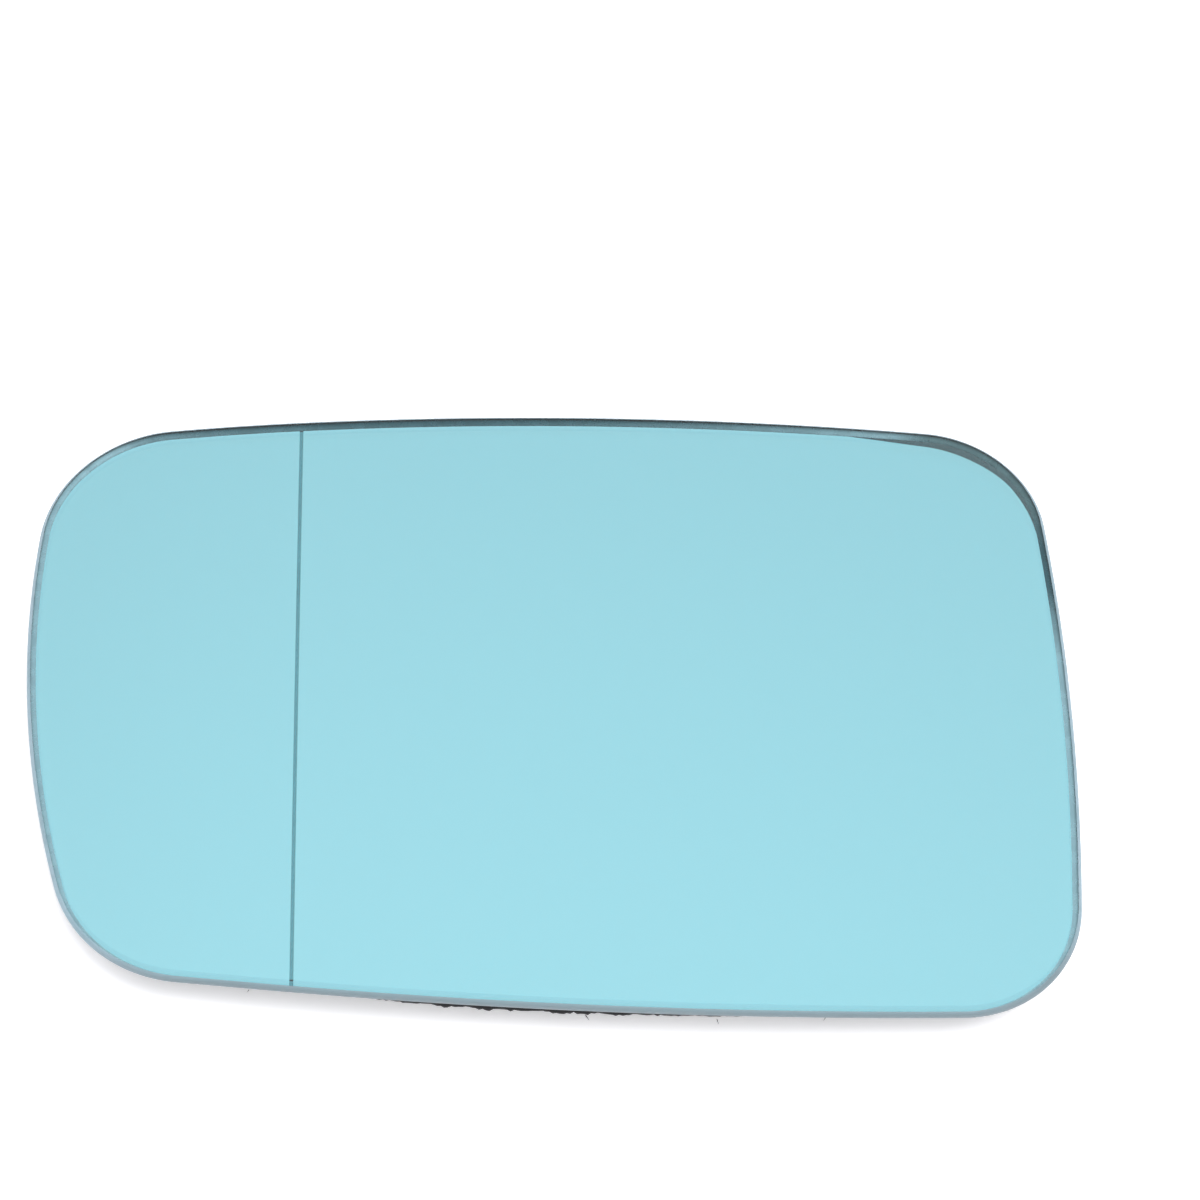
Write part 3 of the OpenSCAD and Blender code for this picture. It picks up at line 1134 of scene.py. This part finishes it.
@dataclass
class Holder:
    """The moulded plate's finish, its trimmed rim, flash whiskers and ejector marks."""

    shape: PaneShape
    back_depth: float = 4.59
    insets: Sides = PLATE_INSETS
    rim_w: float = 0.75
    rim_h: float = 0.7
    rim_step: float = 0.55
    corner_step: float = 0.5
    rough_wave: float = 1.9
    torn_reach: float = 0.16
    flash_from: float = -25.0
    flash_to: float = 42.0
    flash_rise: float = 14.0
    flash_fall: float = 30.0
    flash_root: float = 0.3
    flash_reach: float = 0.75
    coarse_wave: float = 0.35
    fine_wave: float = 1.6
    mark_r: float = 2.6
    mark_lip: float = 0.05
    arm_r: float = 33.0
    plate_marks: tuple[Point, ...] = ((64.0, 37.0), (66.0, -35.0), (79.0, 2.0), (-56.0, 36.0), (-54.0, -31.0),
                                      (-67.0, -1.0))
    whisker_l: float = 0.9
    whisker_r: float = 0.085
    whisker_tip: float = 0.02
    whisker_sizes: Point = (0.55, 1.25)
    whisker_seed: int = 5
    whisker_spots: tuple[Point, ...] = ((0.03, 0.5), (0.11, -0.8), (0.27, 0.3), (0.36, 0.9), (0.47, -0.4),
                                        (0.585, 0.2), (0.665, 0.7), (0.735, -0.5), (0.832, 0.9), (0.872, 0.4),
                                        (0.906, -0.9), (0.96, 0.6))
    plastic: HolderPlastic = HolderPlastic()

    def rim_line(self, aside: float) -> list[Point]:
        """Closely spaced points round the plate, moved in from its rim."""
        return self.shape.outline([inset + aside for inset in self.insets], self.rim_step, self.corner_step)

    def reach_out(self, x: float, y: float) -> float:
        """How far the torn moulding flash stands out at a place on the rim.

        Args:
            x: The place along the plate.
            y: The place up the plate.

        Returns:
            The reach in millimetres.
        """
        wave = self.coarse_wave
        torn = self.torn_reach * max(0.0, noise.noise(Vector((x * wave, y * wave, 7.0))))
        if y > 0 or not self.flash_from < x < self.flash_to:
            return torn
        ends = min((x - self.flash_from) / self.flash_rise, (self.flash_to - x) / self.flash_fall, 1.0)
        coarse = 0.85 + 0.8 * noise.noise(Vector((x * wave, 3.0, 1.0)))
        fine = 0.8 + 0.5 * noise.noise(Vector((x * self.fine_wave, 9.0, 4.0)))
        return torn + self.flash_root * min(1.0, 5 * ends) + self.flash_reach * ends * coarse * fine

    def dress(self, name: str) -> None:
        """Gives the solid its moulded finish."""
        self.moulded = self.plastic.material(Skin.MOULDED)
        dress_node(name, self.moulded)

    def ejector_marks(self) -> Piece:
        """Faint raised rings where the mould's ejector pins pushed the plate out.

        Returns:
            The rings.
        """
        sizes = {"Ring radius": self.mark_r * MM, "Lip radius": self.mark_lip * MM}
        tree = Scatter("ejector_ring", sizes, self.moulded)
        given = tree.into.outputs
        ring, lip = (
            tree.node("GeometryNodeCurvePrimitiveCircle", {"Resolution": count, "Radius": radius}).outputs[0]
            for count, radius in ((40, given["Ring radius"]), (6, given["Lip radius"])))
        sweep = tree.node("GeometryNodeCurveToMesh", {"Curve": ring, "Profile Curve": lip})
        tree.end(sweep.outputs["Mesh"], None)
        arm = self.arm_r
        axis = self.shape.at(self.shape.middle, self.shape.main_r)
        places = [(self.shape.at(spot, self.back_depth - 0.005), self.shape.at(spot, self.back_depth) - axis)
                  for spot in ((arm, 0.0), (0.0, arm), (-arm, 0.0), (0.0, -arm), *self.plate_marks)]
        marks = tree.bake(places, "ejector_marks")
        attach(marks, "root")
        return marks

    def whiskers(self) -> Piece:
        """Thin slivers of flash that still hang on the plate's rim.

        Returns:
            The slivers.
        """
        sizes = {"Length": self.whisker_l * MM, "Root radius": self.whisker_r * MM}
        tree = Scatter("whisker", sizes, self.moulded)
        given = tree.into.outputs
        sliver = tree.node("GeometryNodeMeshCone", {
            "Vertices": 5, "Side Segments": 4, "Radius Top": self.whisker_tip * MM,
            "Radius Bottom": given["Root radius"], "Depth": given["Length"]})
        size = tree.node("FunctionNodeRandomValue", {"Seed": self.whisker_seed}, data_type="FLOAT")
        low, high = [s for s in size.inputs if s.name in ("Min", "Max") and s.type == "VALUE"][:2]
        low.default_value, high.default_value = self.whisker_sizes
        tree.end(sliver.outputs["Mesh"], next(s for s in size.outputs if s.type == "VALUE"))
        line = self.rim_line(0.0)
        places: list[tuple[Vector, Vector]] = []
        for number, (share, lean) in enumerate(self.whisker_spots):
            spot = int(share * len(line))
            x, y = line[spot]
            nx, ny = line[(spot + 1) % len(line)]
            along = Vector((nx - x, ny - y, 0.0)).normalized()
            way = Vector((along.y, -along.x, -0.25 - 0.1 * (number % 3))) + lean * along
            root = self.shape.at((x, y), self.back_depth - 0.2)
            places.append((root + way.normalized() * (self.reach_out(x, y) + 0.5) * MM, way))
        piece = tree.bake(places, "whiskers")
        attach(piece, "root")
        return piece

    def trimmed_rim(self) -> Piece:
        """The rough band along the plate's back edge, where its moulding flash was cut away.

        Returns:
            The band.
        """
        section = ((-0.02, -self.rim_h), (-0.06, -self.rim_h * 0.6), (-0.07, -0.16), (0.0, 0.02),
                   (0.16, 0.07), (self.rim_w * 0.6, 0.06), (self.rim_w, 0.02))
        points: list[Vector] = []
        for number, (aside, below) in enumerate(section):
            for x, y in self.rim_line(aside):
                rough = noise.noise(Vector((x * self.rough_wave, y * self.rough_wave, number * 2.3)))
                reach = 0.05 * rough + (self.reach_out(x, y) if 1 <= number <= 3 else 0.0)
                edge = 0.0 if number in (0, len(section) - 1) else 1.0
                nx, ny = x - self.shape.middle[0], y - self.shape.middle[1]
                size = math.hypot(nx, ny)
                points.append(self.shape.at((x + edge * reach * nx / size, y + edge * reach * ny / size),
                                            self.back_depth + below + edge * 0.03 * rough))
        around = len(points) // len(section)
        faces = [tuple(reversed(f)) for f in ring_faces(len(section), around)]
        rim = mesh_piece("trimmed_rim", points, faces, [self.moulded, self.plastic.material(Skin.TRIMMED)])
        for number, polygon in enumerate(rim.data.polygons):
            polygon.material_index = int(number >= 3 * around)
        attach(rim, "root")
        return rim


# Studio


@dataclass(frozen=True)
class Lamp:
    """A soft square lamp: its name, place and side in metres, and power in watts."""

    name: str
    place: Point3
    side: float
    power: float


@dataclass
class Studio:
    """Floor, lamps, world and camera."""

    floor_z: float = -9.6
    floor_half: float = 3.0
    floor: Colour = (0.90, 0.895, 0.91)
    floor_shade: float = 0.99
    lamps: tuple[Lamp, ...] = (Lamp("key", (0.18, -0.30, 1.10), 0.5, 15.0),
                               Lamp("fill", (-0.7, 0.5, 1.2), 1.2, 4.0))
    white: Colour = (1.0, 1.0, 1.0)
    lit: Colour = (0.92, 0.93, 1.0)
    glow: float = 0.45
    dome: float = 0.5
    low: float = 0.5
    horizon: float = 0.64
    zenith: float = 1.03
    roll: float = -2.283
    tilt: float = -32.047
    spin: float = 3.373
    aside: float = 14.29
    above: float = 20.10
    distance: float = 617.6
    lens: float = 117.0

    def ground(self) -> Piece:
        """Builds the pale table top.

        Returns:
            The table top.
        """
        shader = Shader("table_top")
        tone = shader.span(shader.noise(6.0), 0.3, 0.7)
        shaded = tuple(c * self.floor_shade for c in self.floor)
        matt = shader.node("ShaderNodeBsdfDiffuse", {"Color": shader.mix(tone, self.floor, shaded)})
        path = shader.node("ShaderNodeLightPath").outputs
        mirrored = shader.math("MAXIMUM", path["Is Glossy Ray"], path["Is Transmission Ray"])
        seen = shader.math("MAXIMUM", path["Is Camera Ray"], mirrored)
        white = shader.node("ShaderNodeEmission", {"Strength": shader.math("MULTIPLY", seen, self.glow)})
        both = shader.node("ShaderNodeAddShader", {0: matt.outputs[0], 1: white.outputs[0]})
        shader.node("ShaderNodeOutputMaterial", {"Surface": both.outputs[0]})
        half = self.floor_half
        corners = [Vector((x, y, self.floor_z * MM)) for x, y in ((-half, -half), (half, -half), (half, half),
                                                                  (-half, half))]
        table = mesh_piece("table_top", corners, [(0, 1, 2, 3)], [shader.material], smooth=False)
        return table

    def world(self) -> None:
        """A white world for camera, mirrors and glass, and a softer one for lighting."""
        world = bpy.data.worlds.new("studio")
        bpy.context.scene.world = world
        world.use_nodes = True
        tree = NodeBuilder(world.node_tree)
        path = tree.node("ShaderNodeLightPath").outputs
        mirrored = tree.math("MAXIMUM", path["Is Glossy Ray"], path["Is Transmission Ray"])
        height = tree.part(tree.node("ShaderNodeTexCoord").outputs["Generated"], "Z")
        fade = tree.span(height, self.low, 1.0, self.horizon, self.zenith)
        skies = ((self.white, 1.0), (self.white, fade), (self.lit, self.dome))
        seen, reflected, lighting = (
            tree.node("ShaderNodeBackground", {"Color": colour, "Strength": strength}).outputs[0]
            for colour, strength in skies)
        unseen = tree.node("ShaderNodeMixShader", {0: mirrored, 1: lighting, 2: reflected})
        both = tree.node("ShaderNodeMixShader", {0: path["Is Camera Ray"], 1: unseen.outputs[0], 2: seen})
        tree.node("ShaderNodeOutputWorld", {"Surface": both.outputs[0]})

    def hang(self, lamp: Lamp) -> None:
        """Hangs a lamp so that it points at the pane.

        Args:
            lamp: The lamp.
        """
        light = bpy.data.lights.new(lamp.name, "AREA")
        light.size = lamp.side
        light.energy = lamp.power
        hung = bpy.data.objects.new(lamp.name, light)
        bpy.context.scene.collection.objects.link(hung)
        hung.location = lamp.place
        hung.rotation_euler = (-Vector(lamp.place)).to_track_quat("-Z", "Y").to_euler()
        hung.visible_glossy = False
        hung.visible_transmission = False

    def camera(self) -> None:
        """The camera at the photograph's angle."""
        data = bpy.data.cameras.new("camera")
        data.sensor_width = 36.0
        data.lens = self.lens
        data.clip_start = 0.01
        camera = bpy.data.objects.new("camera", data)
        bpy.context.scene.collection.objects.link(camera)
        roll, tilt, spin = (Matrix.Rotation(math.radians(angle), 3, axis)
                            for angle, axis in ((self.roll, "Z"), (self.tilt, "X"), (self.spin, "Z")))
        turn = (roll @ tilt @ spin).transposed()
        place = turn @ Vector((self.aside, self.above, self.distance)) * MM
        camera.matrix_world = Matrix.Translation(place) @ turn.to_4x4()
        bpy.context.scene.camera = camera

    def build(self) -> None:
        """Builds the whole studio."""
        self.ground()
        self.world()
        for lamp in self.lamps:
            self.hang(lamp)
        self.camera()
        bpy.context.scene.view_settings.view_transform = "Standard"


def main() -> None:
    """Builds every piece in order."""
    logging.basicConfig(level=logging.INFO, format="%(name)s: %(message)s")
    shape = PaneShape()
    mirror = MirrorPane(shape)
    holder = Holder(shape)
    brass, tin = EyeletBrass().material(), SolderTin().material()
    pieces = [mirror.build()]
    dress_node("mirror_coating", ReflectingLayer().material())
    dress_node("heater_film", FilmGrey().material())
    dress_node("heater_track", TrackInk().material())
    pieces += [Terminal("terminal_" + name, TERMINAL_X, y, shape).build(brass, tin, "eyelet_" + name)
               for name, y in TERMINAL_Y.items()]
    holder.dress("back_plate")
    pieces += [EdgeSeal(mirror).build(), LineBacking(shape).build(), GlueBead(shape).build(),
               holder.trimmed_rim(), holder.ejector_marks(), holder.whiskers()]
    for piece in pieces:
        log.info("%s: %d faces", piece.name, len(piece.data.polygons))
    Studio().build()


if __name__ == "__main__":
    main()
